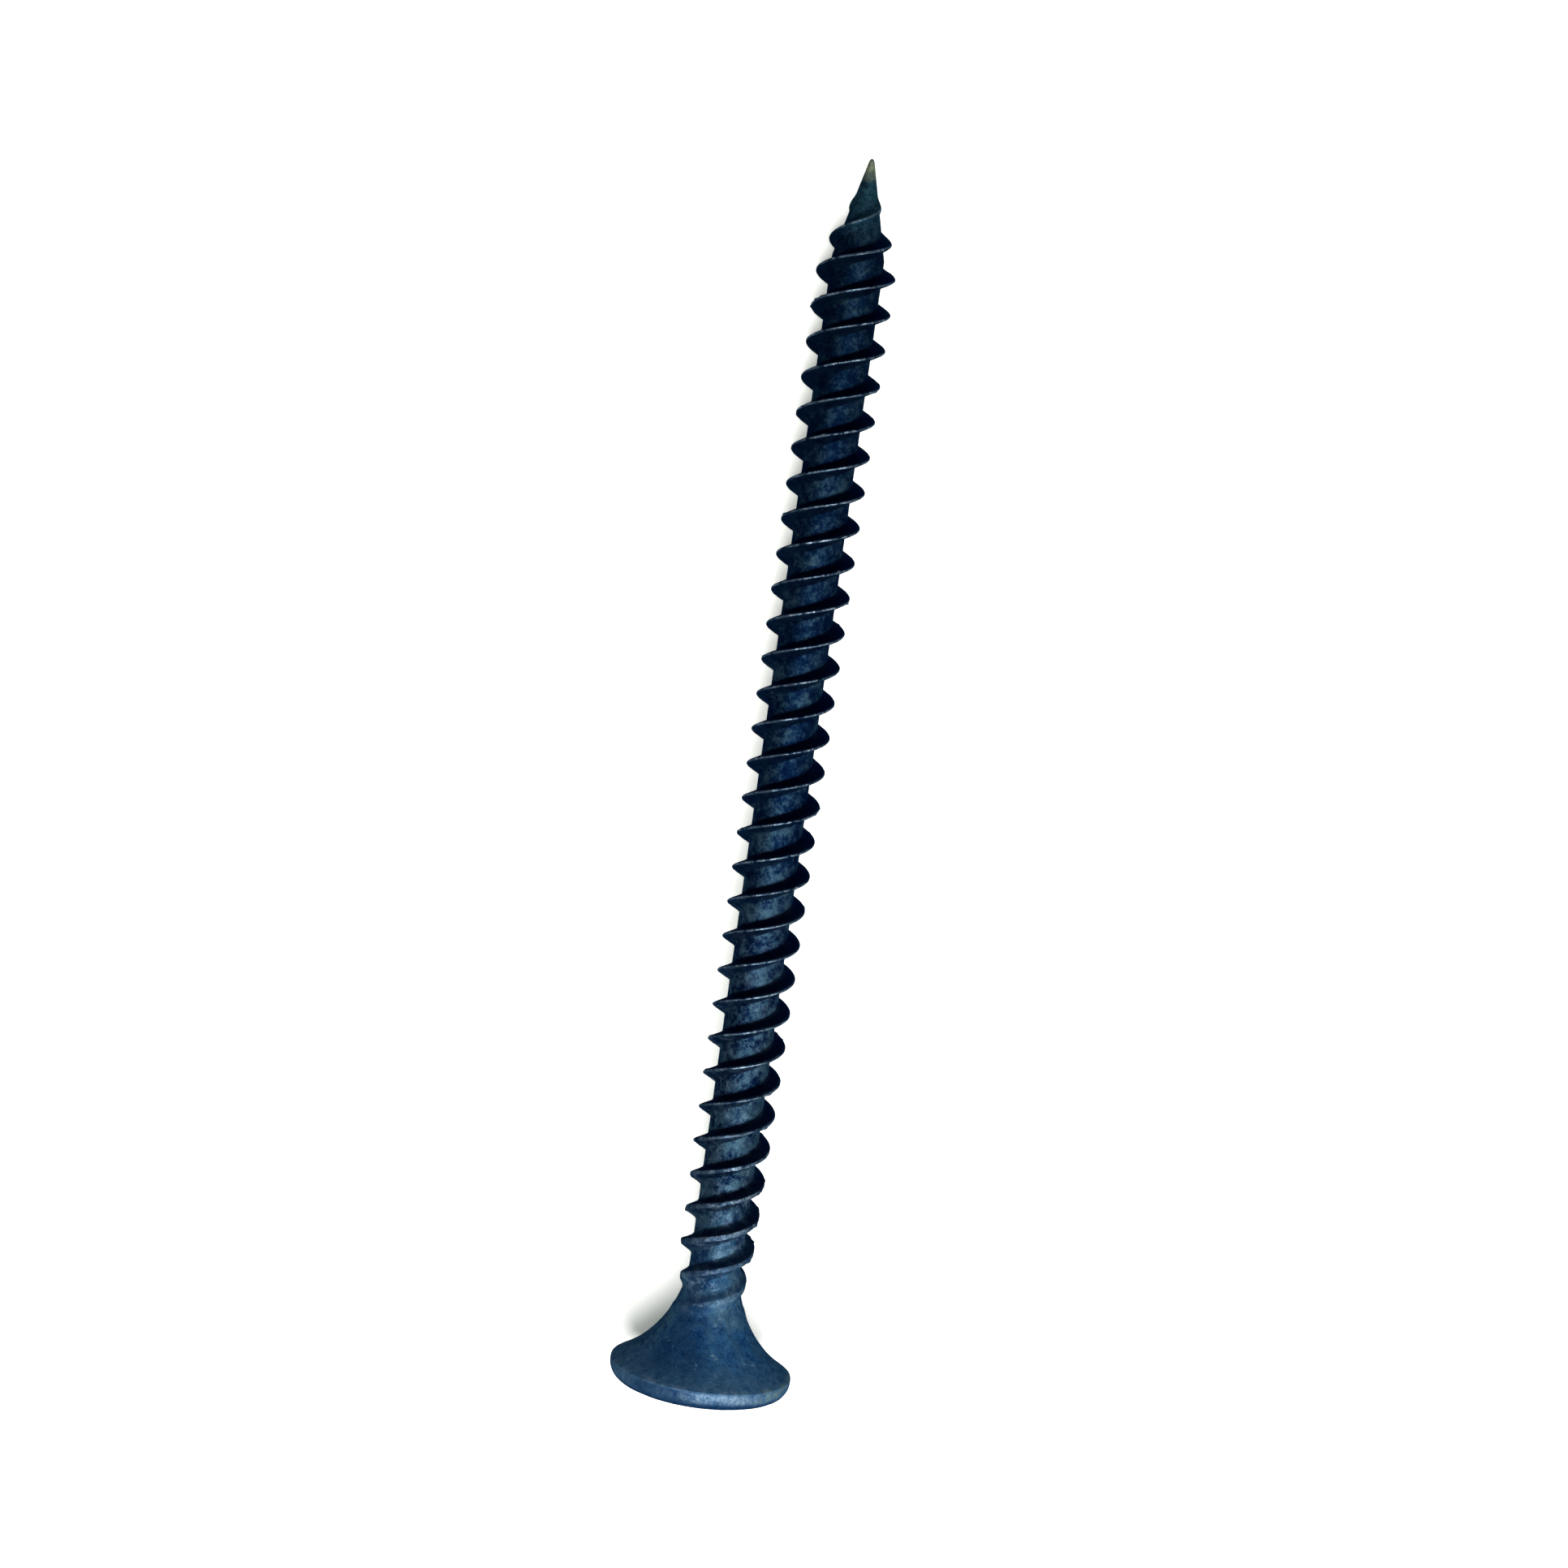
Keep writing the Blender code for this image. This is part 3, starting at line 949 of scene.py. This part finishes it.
def build_table():
    """Plain pale round floor, as far as the lamps light it well."""
    turns = [2.0 * math.pi * step / TABLE_SIDES for step in range(TABLE_SIDES)]
    edge = [(TABLE_RADIUS * math.cos(turn), TABLE_RADIUS * math.sin(turn), 0.0)
            for turn in turns]
    data = bpy.data.meshes.new("table_top")
    data.from_pydata(edge, [], [list(range(TABLE_SIDES))])
    data.materials.append(table_finish())
    table = bpy.data.objects.new("table_top", data)
    bpy.context.scene.collection.objects.link(table)


def add_softbox(name, size, place, power):
    """Round soft lamp at a place, facing the origin."""
    lamp = bpy.data.lights.new(name, "AREA")
    lamp.shape = "DISK"
    lamp.size = size
    lamp.energy = power
    holder = bpy.data.objects.new(name, lamp)
    holder.location = place
    holder.rotation_euler = Vector(place).to_track_quat("Z", "Y").to_euler()
    bpy.context.scene.collection.objects.link(holder)


def light_scene():
    """A soft lamp above, a faint one from the right of the picture, and a dim pale room.

    The camera sees the room white, like the table.
    """
    for name, lamp in LAMPS.items():
        add_softbox(name, **lamp)
    world = bpy.data.worlds.new("room")
    world.use_nodes = True
    tree = world.node_tree
    ambient = tree.nodes["Background"]
    ambient.inputs["Color"].default_value = ROOM_COLOUR
    ambient.inputs["Strength"].default_value = ROOM_STRENGTH
    seen = add_node(tree, "ShaderNodeBackground", {"Color": BACKDROP, "Strength": 1.0})
    rays = add_node(tree, "ShaderNodeLightPath")
    mix = add_node(tree, "ShaderNodeMixShader", {
        0: rays.outputs["Is Camera Ray"], 1: ambient.outputs[0], 2: seen.outputs[0]})
    feed(tree, mix.outputs[0], tree.nodes["World Output"].inputs["Surface"])
    bpy.context.scene.world = world


def place_camera(flat_centre):
    """Camera where the photograph's stood, turned to the screw and drawn closer by its lens."""
    middle = Vector((flat_centre.x + SCREW_SIZES["length"] / 2, 0.0, AIM_HEIGHT))
    stand = Vector((flat_centre.x + HEAD_TO_CAMERA_FOOT, CAMERA_LEFT_OF_AXIS, CAMERA_HEIGHT))
    lens = bpy.data.cameras.new("camera")
    lens.sensor_width = SENSOR_WIDTH
    lens.lens = SENSOR_WIDTH * PHOTO_FOCAL_PIXELS * CROP_ZOOM / PHOTO_WIDTH
    lens.clip_start = NEAREST_SEEN
    camera = bpy.data.objects.new("camera", lens)
    back = (stand - middle).normalized()
    picture_up = Matrix.Rotation(SCREW_LEAN, 3, "Z") @ Vector((1.0, 0.0, 0.0))
    right = picture_up.cross(back).normalized()
    up = back.cross(right)
    turn = Matrix((right, up, back)).transposed().to_4x4()
    camera.matrix_world = Matrix.Translation(stand) @ turn
    bpy.context.scene.collection.objects.link(camera)
    bpy.context.scene.camera = camera


bpy.context.scene.view_settings.view_transform = "Standard"
place_camera(screw_place().translation)
build_screw(phosphate_finish())
build_table()
light_scene()
